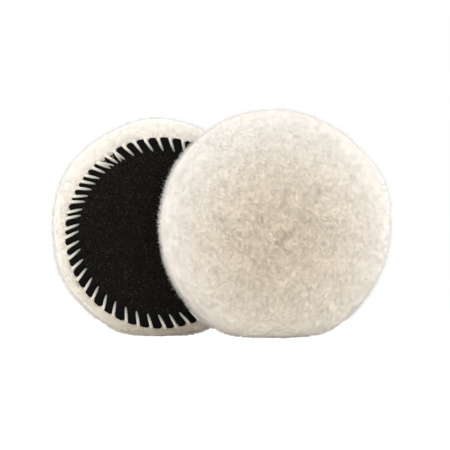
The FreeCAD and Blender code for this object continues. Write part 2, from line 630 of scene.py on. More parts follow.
def set_wool_masks(piece: bpy.types.Object, tip: np.ndarray, rim: np.ndarray, tone: np.ndarray) -> None:
    """Stores what the wool's finish reads: height in the tuft, which brings in the valley colour and so
    partly paints shade; nearness to the rim, which carries painted shade towards the bottom, beside the
    lip and near the floor; and tone, which carries random tone and painted shade near the floor and in
    the creases.
    """
    for name, values in (("tip", tip), ("rim", rim), ("tone", tone)):
        set_mask(piece, name, values)


@dataclass
class WoolShape:
    """The outer shape of the wool, as a profile that is turned round the pad's axis."""

    place: PadPlace
    rim_inset: float = 20.0  # from the widest radius in to the middle of the rim's curve
    widest_level: float = 16.5
    lip_level: float = 0.4
    lip_lap: float = 2.4  # how far the wool laps over the edge of the looped disc
    lip_rise: float = 1.3  # how far the lip's edge lifts off the cloth
    tuck_level: float = 3.2  # where it tucks back behind the looped cloth
    tuck_gap: float = 1.6  # between the disc's edge and the wool behind it
    skin_gap: float = 0.2
    crown: float = 4.2
    fullness: float = 2.3
    hidden_share: float = 0.05  # weight of the part under the skin, which needs few faces
    ruffled_middle: tuple[float, float] = (-3.0, -9.0)
    ruffled_reach: tuple[float, float] = (10.0, 92.0)
    low_shade_share: float = 0.82  # painted shade: how far the rim colour comes in at the bottom, against the rest
    low_heights: tuple[float, float] = (-85.0, -10.0)
    lip_shade_share: float = 0.72  # painted shade: how far the rim colour comes in beside the lip, against the rest
    lip_shade_levels: tuple[float, float] = (0.5, 5.0)
    # Painted shade where the wool beside the lip comes near the floor:
    floor_shade_depth: tuple[float, float] = (72.0, 82.0)  # below the axis
    floor_shade_level: tuple[float, float] = (5.0, 15.0)
    floor_shade_tips: tuple[float, float] = (80.0, 88.0)  # off the axis
    steps: int = 160
    radius: np.ndarray = field(init=False)
    level: np.ndarray = field(init=False)
    share: np.ndarray = field(init=False)
    lip_share: float = field(init=False)

    def __post_init__(self) -> None:
        """Works the profile out from the sizes."""
        face_level = self.place.level_of("wool_pile", True)
        skin_level = self.place.level_of("hide", True) + self.skin_gap
        middle = self.place.wool_radius - self.rim_inset
        rim_level = face_level - self.crown
        inner = self.place.disc_radius - self.lip_lap
        outer = self.place.disc_radius + self.tuck_gap
        face_r = np.linspace(0.0, middle, self.steps)
        face_l = face_level - self.crown * (face_r / middle) ** 2
        turn = np.linspace(np.pi / 2, -np.pi / 2, self.steps)[1:]
        sine, cosine = np.sin(turn), np.cos(turn)
        reach = np.where(sine > 0, rim_level - self.widest_level, self.widest_level - self.lip_level)
        start = np.where(sine > 0, middle, inner)
        rim_r = start + (self.place.wool_radius - start) * np.abs(cosine) ** (2 / self.fullness)
        rim_l = self.widest_level + reach * np.sign(sine) * np.abs(sine) ** (2 / self.fullness)
        rim_l = rim_l + np.where(sine < 0, self.lip_rise * ramp(-rim_r, -inner - 5.0, -inner), 0.0)
        tuck_r = np.array([inner, outer, outer])
        tuck_l = np.array([self.tuck_level, self.tuck_level + 0.8, skin_level])
        back_r = np.linspace(outer, 0.0, 40)[1:]
        back_l = np.full(len(back_r), skin_level)
        self.radius = np.concatenate([face_r, rim_r, tuck_r, back_r])
        self.level = np.concatenate([face_l, rim_l, tuck_l, back_l])
        weight = np.ones(len(self.radius) - 1)
        seen = len(face_r) + len(rim_r)
        weight[seen:] = self.hidden_share
        along = np.hypot(np.diff(self.radius), np.diff(self.level))
        area = along * (self.radius[1:] + self.radius[:-1]) * weight
        total = np.concatenate([[0.0], np.cumsum(area)])
        self.share = total / total[-1]
        self.lip_share = float(self.share[seen - 1])

    def at(self, share: np.ndarray, angle: np.ndarray, sunk: np.ndarray) -> np.ndarray:
        """Gives points under the surface, in the pad's own frame.

        Args:
            share: how far along the profile, as a share of the area from 0 at the face's middle.
            angle: the angle round the axis, in radians.
            sunk: how far under the surface.

        Returns:
            The points (n, 3).
        """
        radius = np.interp(share, self.share, self.radius)
        level = np.interp(share, self.share, self.level)
        outward, upward = self.normal(share)
        radius = np.maximum(radius - sunk * outward, 0.0)
        level = level - sunk * upward
        return round_axis(radius, level, angle)

    def normal(self, share: np.ndarray) -> tuple[np.ndarray, np.ndarray]:
        """Gives the surface's outward normal in the plane of the profile.

        Args:
            share: how far along the profile.

        Returns:
            The normal's radial and level parts.
        """
        step = 0.003
        low, high = np.clip(share - step, 0, 1), np.clip(share + step, 0, 1)
        radial = np.interp(high, self.share, self.radius) - np.interp(low, self.share, self.radius)
        level = np.interp(high, self.share, self.level) - np.interp(low, self.share, self.level)
        size = np.maximum(np.hypot(radial, level), 1e-9)
        return -level / size, radial / size

    def direction(self, share: np.ndarray, angle: np.ndarray) -> np.ndarray:
        """Gives the surface's outward normal (n, 3)."""
        outward, upward = self.normal(share)
        return round_axis(outward, upward, angle)

    def rimness(self, points: np.ndarray) -> np.ndarray:
        """Tells the ruffled middle of the face from the smooth rim.

        Args:
            points: points (n, 3) of the pad's own frame.

        Returns:
            0 in the middle of the face and 1 round the rim, for each point; less towards the bottom,
            beside the lip and near the floor, which paints shade into the wool's colour there.
        """
        far = np.hypot(points[:, 0] - self.ruffled_middle[0], points[:, 2] - self.ruffled_middle[1])
        top = self.level[0] - self.crown
        rim = ramp(far + 0.8 * np.maximum(top - points[:, 1], 0.0), *self.ruffled_reach)
        # Painted shade: less rim colour towards the bottom and beside the lip, and near the floor below.
        rim *= self.low_shade_share + (1.0 - self.low_shade_share) * ramp(points[:, 2], *self.low_heights)
        by_lip = self.lip_shade_share + (1.0 - self.lip_shade_share) * ramp(points[:, 1], *self.lip_shade_levels)
        return rim * by_lip * (1.0 - self.painted_floor_shade(points))

    def painted_floor_shade(self, points: np.ndarray) -> np.ndarray:
        """Gives the painted shade where the wool beside the lip comes near the floor: 1 there, less on
        its tips, and 0 elsewhere.
        """
        low = ramp(-points[:, 2], *self.floor_shade_depth) * (1.0 - ramp(points[:, 1], *self.floor_shade_level))
        return low * (1.0 - 0.6 * ramp(off_axis(points), *self.floor_shade_tips))


@dataclass(frozen=True)
class Crease:
    """A groove that is pressed into the wool's face, as seen from the wool side."""

    start: tuple[float, float]
    end: tuple[float, float]
    width: float
    depth: float

    def sink(self, points: np.ndarray) -> np.ndarray:
        """Gives how deep the groove is.

        Args:
            points: points (n, 3) of the pad's own frame.

        Returns:
            The depth at each point.
        """
        flat = np.stack([-points[:, 0], points[:, 2]], axis=1)
        start, end = np.array(self.start), np.array(self.end)
        along = end - start
        share = np.clip((flat - start) @ along / (along @ along), 0.0, 1.0)
        gap = np.linalg.norm(flat - start - share[:, None] * along, axis=1)
        return self.depth * np.exp(-((gap / self.width) ** 2))


@dataclass(frozen=True)
class Swell:
    """A part of the rim where the wool stands out further, or less far where the height is negative."""

    angle: float  # anticlockwise as seen from the back, in degrees
    width: float
    height: float

    def rise(self, angle: np.ndarray) -> np.ndarray:
        """Gives how much further the wool stands out at angles in radians."""
        off = (np.degrees(angle) - self.angle + 180.0) % 360.0 - 180.0
        return self.height * np.exp(-((off / self.width) ** 2))


@dataclass(frozen=True)
class Graded:
    """A number that changes from the ruffled middle of the face to the smooth rim."""

    face: float
    rim: float

    def at(self, rimness: np.ndarray) -> np.ndarray:
        """Gives the number at a nearness to the rim, from 0 to 1."""
        return self.face + (self.rim - self.face) * rimness


@dataclass(frozen=True)
class Ruffle:
    """Unevenness of one size in the wool's surface, in millimetres."""

    size: float
    height: Graded
    shift: float  # where in the noise it is read

    def sink(self, noise: Noise, points: np.ndarray, rimness: np.ndarray) -> np.ndarray:
        """Gives how far the surface sinks at points (n, 3)."""
        return self.height.at(rimness) * noise.at(points + self.shift, self.size)


RUFFLES = (Ruffle(11.0, Graded(1.0, 0.25), 7.0), Ruffle(5.0, Graded(0.0, 0.3), 29.0),
           Ruffle(2.4, Graded(0.45, 0.05), 3.0), Ruffle(1.1, Graded(0.25, 0.05), 0.0))


@dataclass(frozen=True)
class Locks:
    """Some locks of wool. Each field has one row for each lock."""

    lines: np.ndarray  # centre lines (n, k, 3)
    rim: np.ndarray  # nearness to the rim, from 0 to 1
    tone: np.ndarray
    height: np.ndarray  # how high the root lies in its tuft, from 0 to 1
    smooth: np.ndarray  # how smooth the wool is round it, from 0 to 1
    normal: np.ndarray  # the surface's outward normal (n, 3)


@dataclass
class Fleece:
    """The wool of one pad: a tufted body and the locks that stand out of it."""

    place: PadPlace
    creases: tuple[Crease, ...]
    swells: tuple[Swell, ...]
    seed: int
    locks: int
    fuller_angle: float  # where the wool stands out furthest, anticlockwise as seen from the back
    fuller_by: float
    bare_floor_gap: float = 2.8  # between the floor and the body
    lock_floor_gap: float = 3.2  # between the floor and the highest of the locks that rest on it
    floor_softness: float = 1.8  # how gently the wool bends where it meets the floor
    cuts: int = 126  # of each side of the starting cube
    tufts: int = 2800
    tuft_depth: Graded = Graded(2.4, 0.2)
    tuft_wobble: float = 1.8  # how far the tufts' borders wander
    sunk: Graded = Graded(1.2, 0.4)  # the body lies this far under the tips
    patch_size: float = 22.0  # of the patches with deeper and flatter tufts
    patch_share: float = 0.55
    broad_size: float = 42.0  # of the widest unevenness
    broad_height: float = 0.9
    lip_levels: tuple[float, float] = (0.5, 9.0)  # the wool fills out over these levels
    crease_levels: tuple[float, float] = (12.0, 24.0)  # creases start here, and are full here
    pieces: int = 4
    lock_length: float = 4.4
    lock_spread: tuple[float, float] = (0.6, 0.8)  # the shortest lock and the range above it, as shares
    length_share: Graded = Graded(1.0, 0.64)
    lock_radius: float = 0.125
    radius_share: Graded = Graded(1.0, 0.6)
    splay: Graded = Graded(0.25, 0.6)  # how far the locks turn outwards
    lip_splay: float = 0.9  # how much further they do so beside the lip
    lean: Graded = Graded(0.7, 0.175)  # how far the locks of a tuft lean the same way
    unruly: Graded = Graded(0.4, 0.2)  # how far each lock strays from that
    pull: Graded = Graded(0.22, 0.02)  # how far the tips of a tuft draw together
    curl: tuple[float, float] = (0.1, 0.45)
    curl_turns: tuple[float, float] = (0.6, 1.2)
    patchy_tone: Graded = Graded(1.0, 0.5)
    mixed_tone: Graded = Graded(1.0, 0.3)
    lock_points: int = 3
    lock_sides: int = 3
    stray_share: float = 0.04  # of the locks round the rim, which stand out further
    stray_extra: float = 0.6
    roundness: float = 0.26  # how round a lock looks, against the smooth surface it belongs to
    crease_shade: float = 0.5  # how much darker the wool is in a crease, for each millimetre of depth
    shape: WoolShape = field(init=False)
    noise: Noise = field(init=False)
    random: np.random.Generator = field(init=False)
    centres: np.ndarray = field(init=False)
    tree: KDTree = field(init=False)

    def __post_init__(self) -> None:
        """Scatters the middles of the tufts over the surface."""
        self.shape = WoolShape(self.place)
        self.noise = Noise(self.seed)
        self.random = np.random.default_rng(self.seed)
        share = self.random.uniform(0.0, self.shape.lip_share, self.tufts)
        angle = self.random.uniform(0.0, 2 * np.pi, self.tufts)
        self.centres = self.shape.at(share, angle, np.zeros(self.tufts))
        self.tree = KDTree(self.tufts)
        for number, centre in enumerate(self.centres):
            self.tree.insert(centre, number)
        self.tree.balance()

    def nearest(self, points: np.ndarray) -> tuple[np.ndarray, np.ndarray]:
        """Finds the tuft that each point belongs to.

        Args:
            points: points (n, 3) of the pad's own frame.

        Returns:
            The tuft's number, and how far inside it the point is, from 0 at its border to 1.
        """
        found = [self.tree.find_n(point, 2) for point in points]
        number = np.array([pair[0][1] for pair in found])
        near = np.array([pair[0][2] for pair in found])
        far = np.array([pair[1][2] for pair in found])
        return number, (far - near) / np.maximum(far + near, 1e-9)

    def body_points(self, share: np.ndarray, angle: np.ndarray) -> tuple[np.ndarray, np.ndarray]:
        """Gives the surface of the tufted body.

        Args:
            share: how far along the profile.
            angle: the angle round the axis.

        Returns:
            The points (n, 3), and how high each lies in its tuft, from 0 to 1.
        """
        surface = self.shape.at(share, angle, np.zeros(len(share)))
        wobble = np.stack([self.noise.at(surface + 40.0 * k, 3.5) for k in range(3)], axis=1)
        _, inside = self.nearest(surface + self.tuft_wobble * wobble)
        rim = self.shape.rimness(surface)
        height = np.clip(inside, 0.0, 1.0) ** 0.8
        patchy = 1.0 + self.patch_share * self.noise.at(surface, self.patch_size)
        sunk = self.sunk.at(rim) + self.tuft_depth.at(rim) * patchy * (1.0 - height)
        for ruffle in RUFFLES:
            sunk += ruffle.sink(self.noise, surface, rim)
        from_lip = ramp(surface[:, 1], *self.lip_levels)
        far = off_axis(surface) / self.place.wool_radius * from_lip
        broad = self.broad_height * self.noise.at(surface + 17.0, self.broad_size)
        sunk += (1.0 - from_lip) + from_lip * broad
        sunk -= self.fuller_by * far ** 2 * np.cos(angle - math.radians(self.fuller_angle))
        for swell in self.swells:
            sunk -= far ** 2 * swell.rise(angle)
        on_face = ramp(surface[:, 1], *self.crease_levels)
        for crease in self.creases:
            sunk += crease.sink(surface) * on_face
        seen = 1.0 - ramp(share, self.shape.lip_share - 0.01, self.shape.lip_share + 0.004)
        points = self.shape.at(share, angle, sunk * seen)
        gap = self.bare_floor_gap + 0.8 * self.noise.at(surface, 5.0)
        return self.rest_on_floor(points, gap), height * seen

    def rest_on_floor(self, points: np.ndarray, gap: np.ndarray) -> np.ndarray:
        """Presses the wool flat where it would be too near the floor.

        Args:
            points: points (n, 3) of the pad's own frame.
            gap: how near the floor each point may lie.

        Returns:
            The points, softly lifted where they were nearer.
        """
        over = (points[:, 2] + self.place.axis_height - gap) / self.floor_softness
        lifted = points.copy()
        lifted[:, 2] = self.floor_softness * np.logaddexp(0.0, over) - self.place.axis_height + gap
        return lifted

    def body(self) -> bpy.types.Object:
        """Makes the body of the wool from a cube that is blown up to the pad's shape.

        Returns:
            The piece.
        """
        bpy.ops.mesh.primitive_cube_add(size=2.0)
        piece = bpy.context.object
        piece.name = self.place.named("wool_body")
        piece.data.name = piece.name
        with editing():
            bpy.ops.mesh.select_all(action="SELECT")
            bpy.ops.mesh.subdivide(number_cuts=self.cuts)
        bpy.ops.object.shade_smooth()
        cube = corners_of(piece)
        ball = unit(np.tan(cube * np.pi / 4))
        share = (1.0 - ball[:, 1]) / 2.0
        angle = np.arctan2(ball[:, 2], ball[:, 0])
        points, height = self.body_points(share, angle)
        move_corners(piece, self.place.place(points))
        surface = self.shape.at(share, angle, np.zeros(len(share)))
        # The body's tone is only the painted shade near the floor.
        rim, tone = self.shape.rimness(surface), -self.shape.painted_floor_shade(surface)
        # Low in the tufts the body takes the valley colour: partly painted shade.
        set_wool_masks(piece, 0.05 + 0.6 * height, rim, tone)
        turn_outwards(piece)
        return piece

    def grow_locks(self, count: int) -> Locks:
        """Draws the centre lines of some locks, and reads the wool round each root.

        Args:
            count: how many.

        Returns:
            The locks.
        """
        share = self.random.uniform(0.0, self.shape.lip_share, count)
        angle = self.random.uniform(0.0, 2 * np.pi, count)
        roots, height = self.body_points(share, angle)
        normal = self.shape.direction(share, angle)
        surface = self.shape.at(share, angle, np.zeros(count))
        rim = self.shape.rimness(surface)
        number, _ = self.nearest(surface)
        outward = round_axis(1.0, 0.0, angle)
        by_lip = 1.0 - ramp(surface[:, 1], 1.0, 9.0)
        centre = self.centres[number]
        lean = np.stack([self.noise.at(centre + 90.0 + 30 * k, 12.0) for k in range(3)], axis=1)
        shortest, spread = self.lock_spread
        length = self.lock_length * (shortest + spread * self.random.uniform(0.0, 1.0, count) ** 1.6)
        length *= self.length_share.at(rim) - 0.2 * by_lip
        stray = self.random.uniform(0.0, 1.0, count) > 1 - self.stray_share
        length *= 1 + self.stray_extra * rim * stray
        splay = (self.splay.at(rim) + self.lip_splay * by_lip)[:, None] * outward
        unruly = self.unruly.at(rim)[:, None] * self.random.normal(size=(count, 3))
        grow = unit(normal + splay + self.lean.at(rim)[:, None] * lean + unruly)
        tip = roots + grow * length[:, None]
        middle = centre + 1.2 * lean - 0.3 * normal
        pull = self.pull.at(rim) * self.random.uniform(0.3, 1.3, count)
        tip += (middle - tip) * pull[:, None]
        bend = roots + (0.75 * normal + 0.25 * grow) * (0.55 * length)[:, None]
        steps = np.linspace(0.0, 1.0, self.lock_points)[None, :, None]
        buried = roots - 0.5 * normal
        lines = (1 - steps) ** 2 * buried[:, None] + 2 * steps * (1 - steps) * bend[:, None]
        lines = lines + steps ** 2 * tip[:, None]
        across = unit(np.cross(grow, self.random.normal(size=(count, 3))))
        third = np.cross(grow, across)
        start = self.random.uniform(0, 2 * np.pi, count)[:, None, None]
        turns = self.random.uniform(*self.curl_turns, count)[:, None, None] * 2 * np.pi
        curl = self.random.uniform(*self.curl, count)[:, None, None] * np.sqrt(steps)
        lines = lines + curl * (np.cos(start + turns * steps) * across[:, None]
                                + np.sin(start + turns * steps) * third[:, None])
        tone = 0.8 * self.noise.at(surface + 55.0, 9.0) + 0.4 * self.noise.at(surface + 25.0, 4.5)
        mixed = self.random.uniform(-0.45, 0.45, count) * self.mixed_tone.at(rim)
        # The tone is darkened by painted shade near the floor, and by the crease shade below.
        tone = tone * self.patchy_tone.at(rim) + mixed - self.shape.painted_floor_shade(surface)
        for crease in self.creases:
            tone -= self.crease_shade * crease.sink(surface)
        smooth = rim ** 0.7 * (1.0 - 0.3 * by_lip)
        return Locks(lines, rim, tone, height, smooth, normal)

    def lock_piece(self, number: int) -> bpy.types.Object:
        """Makes one piece of locks.

        Args:
            number: the piece's number, from 0.

        Returns:
            The piece.
        """
        count = self.locks // self.pieces
        locks = self.grow_locks(count)
        steps = self.lock_points
        taper = np.linspace(1.0, 0.8, steps - 1)
        thick = self.lock_radius * self.random.uniform(0.75, 1.3, count) * self.radius_share.at(locks.rim)
        points, faces = tubes(locks.lines, thick[:, None] * taper[None], self.lock_sides)
        each = self.lock_sides * (steps - 1) + 1
        round_lock = points - np.repeat(locks.lines.mean(axis=1), each, axis=0)
        gap = self.lock_floor_gap * self.random.uniform(0.0, 1.0, count) ** 1.5
        points = self.rest_on_floor(points, np.repeat(gap, each))
        piece = new_piece(self.place.named(f"wool_locks_{number + 1}"), self.place.place(points), faces)
        along = np.append(np.repeat(np.linspace(0.0, 1.0, steps)[:-1], self.lock_sides), 1.0)
        # Towards the root a lock takes the valley colour: partly painted shade.
        tip = (0.1 + 0.5 * locks.height)[:, None] * (1 - along) + along[None]
        set_wool_masks(piece, tip.ravel(), np.repeat(locks.rim, each), np.repeat(locks.tone, each))
        roundness = np.repeat(self.roundness * (3.0 - 2.7 * locks.smooth), each)
        smooth = np.repeat(locks.normal, each, axis=0) + roundness[:, None] * unit(round_lock)
        soften(piece, smooth * np.array([self.place.turn, self.place.turn, 1.0]))
        return piece

    def build(self) -> None:
        """Makes and dresses all the wool of the pad."""
        node = self.place.named("wool_pile")
        body = self.body()
        WOOL.dress(body)
        pieces = [body]
        for number in range(self.pieces):
            locks = self.lock_piece(number)
            LOCKS.dress(locks)
            pieces.append(locks)
        for piece in pieces:
            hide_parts(node)
            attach(piece, self.place.body)
            LOG.info("%s: %d faces", piece.name, len(piece.data.polygons))


# ---------------------------------------------------------------- seam


@dataclass(frozen=True)
class Seam:
    """Where the whip stitches lie, in the pad's own frame. The sizes are the CAD model's."""

    disc_radius: float
    reach: float = 9.0
    pitch: float = 8.4
    slant: float = 27.0
    thread: float = 2.2
    clearance: float = 0.1
    widest_angle: float = 241.0
    drift: float = 0.25
    wander: float = 0.12
    start_angle: float = 124.0
    search_arc: float = 8.0
    lock_count: int = 2

    @property
    def needle_circle(self) -> float:
        """The radius of the circle of needle holes."""
        return self.disc_radius - self.reach

    @property
    def edge_circle(self) -> float:
        """The radius at which the thread turns over the edge."""
        return self.disc_radius + self.thread / 2 + self.clearance

    @property
    def shift(self) -> float:
        """How far round a stitch's outer end lies from its needle hole, in radians."""
        reach = self.edge_circle - self.needle_circle
        return reach * math.tan(math.radians(self.slant)) / self.edge_circle

    def angles(self) -> np.ndarray:
        """Spaces the needle holes round the pad. Hand sewing wanders.

        Returns:
            The angle of each hole in degrees.
        """
        count = round(2 * math.pi * self.disc_radius / self.pitch)
        even = 360 * np.arange(count) / count
        twice_past = 2 * np.radians(even - self.widest_angle)
        stray = self.wander * (1 - np.cos(twice_past)) / 2 * np.sin(3 * np.arange(count))
        return even + np.degrees(self.drift / 2 * np.sin(twice_past)) + stray * 360 / count

    def locks(self) -> np.ndarray:
        """Places the stitches that lock the seam in its widest spaces near its start.

        Returns:
            The angle of each of their holes in degrees.
        """
        angles = self.angles()
        middles, spaces = (angles[1:] + angles[:-1]) / 2, np.diff(angles)
        near = np.abs(middles - self.start_angle) < self.search_arc
        order = np.argsort(-spaces[near])[:self.lock_count]
        return middles[near][order]

    def thread_gap(self, points: np.ndarray) -> np.ndarray:
        """Measures how far points lie from the nearest stitch, square to it.

        Args:
            points: points (n, 3) of the pad's own frame.

        Returns:
            The distance from each point to the stitch's centre line.
        """
        radius = off_axis(points)
        past_hole = (radius - self.needle_circle) / (self.edge_circle - self.needle_circle)
        angle = np.arctan2(points[:, 2], points[:, 0]) - past_hole * self.shift
        every = np.radians(np.concatenate([self.angles(), self.locks()]))
        off = (angle[:, None] - every[None] + np.pi) % (2 * np.pi) - np.pi
        return np.abs(off).min(axis=1) * radius * math.cos(math.radians(self.slant))


# The control points of a stitch: across the cloth, as the share of the way from the needle hole to the
# edge, and over the edge, as a share of the edge circle. The second numbers are levels in millimetres.
ACROSS_CLOTH = ((0.0, 4.0), (0.0, 2.5), (0.12, 1.6), (0.5, 0.8), (0.85, 0.4))
OVER_EDGE = ((1.01, 1.2), (1.01, 4.5), (0.985, 8.0))


@dataclass
class Stitching:
    """The white thread that sews a pad's back to its skin."""

    place: PadPlace
    seam: Seam
    steps: int = 26
    sides: int = 12
    plies: int = 3
    twist: float = 1.1  # radians per millimetre
    spread: float = 0.12  # how much further the soft thread reaches than the CAD model's
    lean_wander: float = 0.5  # degrees by which the edge stitches' slant varies
    lock_lean: float = 3.0  # degrees by which the lock stitches cross their neighbours
    sunk_length: float = 10.0  # from the needle hole to where the thread's painted shade ends

    def line(self, angle: float, lean: float) -> np.ndarray:
        """Draws one stitch's centre line: out of the needle hole, over the edge and into the wool.

        Args:
            angle: the needle hole's angle in degrees.
            lean: how much further round the outer end lies than usual, in degrees.

        Returns:
            The points (steps, 3) of the pad's own frame.
        """
        seam = self.seam
        start = math.radians(angle)
        end = start + seam.shift + math.radians(lean)
        circles = np.array([seam.needle_circle, seam.edge_circle])
        inner, outer = round_axis(circles, 0.0, np.array([start, end]))
        corners = [inner * (1 - share) + outer * share + [0, level, 0] for share, level in ACROSS_CLOTH]
        corners += [outer * share + [0, level, 0] for share, level in OVER_EDGE]
        return smooth_line(np.array(corners), self.steps)

    def one(self, line: np.ndarray) -> tuple[np.ndarray, np.ndarray]:
        """Makes the twisted thread along one line.

        Args:
            line: the centre line (steps, 3).

        Returns:
            The corners and the triangles of a closed tube.
        """
        run = np.concatenate([[0.0], np.cumsum(np.linalg.norm(np.diff(line, axis=0), axis=1))])
        ahead = unit(np.gradient(line, axis=0))
        aside = unit(line * np.array([-line[0, 2] / 1e3, 0.0, 1.0]) + [0.2, 0, 0.1])
        across = unit(np.cross(ahead, aside))
        third = np.cross(ahead, across)
        turns = 2 * np.pi * np.arange(self.sides) / self.sides
        lobes = 1.0 + 0.09 * np.cos(self.plies * (turns[None] - self.twist * run[:, None]))
        thin = 0.8 + 0.2 * ramp(run, 1.5, 7.0)
        radius = (self.seam.thread / 2 + self.spread) * thin[:, None] * lobes
        ring = across[:, None] * np.cos(turns)[:, None] + third[:, None] * np.sin(turns)[:, None]
        points = (line[:, None] + ring * radius[:, :, None]).reshape(-1, 3)
        here = np.arange(self.sides)
        after = (here + 1) % self.sides
        faces = []
        for step in range(len(line) - 1):
            low, high = step * self.sides, (step + 1) * self.sides
            faces.append(np.stack([low + here, low + after, high + after, high + here], axis=1))
        ends = len(points)
        points = np.concatenate([points, line[:1], line[-1:]])
        last = (len(line) - 1) * self.sides
        first_cap = np.stack([after, here, np.full(self.sides, ends)], axis=1)
        last_cap = np.stack([last + here, last + after, np.full(self.sides, ends + 1)], axis=1)
        quads = np.concatenate(faces)
        return points, np.concatenate([quads[:, [0, 1, 2]], quads[:, [0, 2, 3]], first_cap, last_cap])

    def piece(self, name: str, angles: np.ndarray, leans: np.ndarray) -> bpy.types.Object:
        """Makes one piece of thread from several stitches.

        Args:
            name: the piece's name.
            angles: the needle holes' angles in degrees.
            leans: how much further round each outer end lies than usual, in degrees.

        Returns:
            The piece.
        """
        points, faces, clean = [], [], []
        count = 0
        for angle, lean in zip(angles, leans):
            line = self.line(float(angle), float(lean))
            corners, triangles = self.one(line)
            points.append(corners)
            faces.append(triangles + count)
            count += len(corners)
            past_hole = (off_axis(corners) - self.seam.needle_circle) / self.sunk_length
            clean.append(np.clip(past_hole, 0.0, 1.0))
        piece = new_piece(name, self.place.place(np.concatenate(points)), np.concatenate(faces))
        set_mask(piece, "clean", np.concatenate(clean))
        return piece

    def build(self) -> None:
        """Makes and dresses the edge stitches and the lock stitches of the pad."""
        angles, locks = self.seam.angles(), self.seam.locks()
        leans = self.lean_wander * np.sin(3.7 * np.arange(len(angles)))
        lock_leans = self.lock_lean * np.cos(np.pi * np.arange(len(locks)))
        for kind, holes, lean in (("edge_stitches", angles, leans), ("lock_stitches", locks, lock_leans)):
            piece = self.piece(self.place.named(f"{kind}_thread"), holes, lean)
            THREAD.dress(piece)
            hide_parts(self.place.named(kind))
            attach(piece, self.place.body)
            LOG.info("%s: %d faces", piece.name, len(piece.data.polygons))


def smooth_line(corners: np.ndarray, steps: int) -> np.ndarray:
    """Draws a smooth line through the neighbourhood of some corners.

    Args:
        corners: the control points (n, 3).
        steps: how many points the line has.

    Returns:
        The points (steps, 3) of a clamped quadratic spline.
    """
    curve = bpy.data.curves.new("thread_path", "CURVE")
    curve.dimensions = "3D"
    spline = curve.splines.new("NURBS")
    spline.points.add(len(corners) - 1)
    for point, corner in zip(spline.points, corners):
        point.co = (*corner, 1.0)
    spline.order_u = 3
    spline.use_endpoint_u = True
    spline.resolution_u = 8
    carrier = bpy.data.objects.new("thread_path", curve)
    mesh = bpy.data.meshes.new_from_object(carrier)
    fine = np.array([vertex.co[:] for vertex in mesh.vertices])
    bpy.data.objects.remove(carrier)
    bpy.data.curves.remove(curve)
    bpy.data.meshes.remove(mesh)
    run = np.concatenate([[0.0], np.cumsum(np.linalg.norm(np.diff(fine, axis=0), axis=1))])
    places = np.linspace(0.0, run[-1], steps)
    return np.stack([np.interp(places, run, fine[:, k]) for k in range(3)], axis=1)


# ---------------------------------------------------------------- looped back


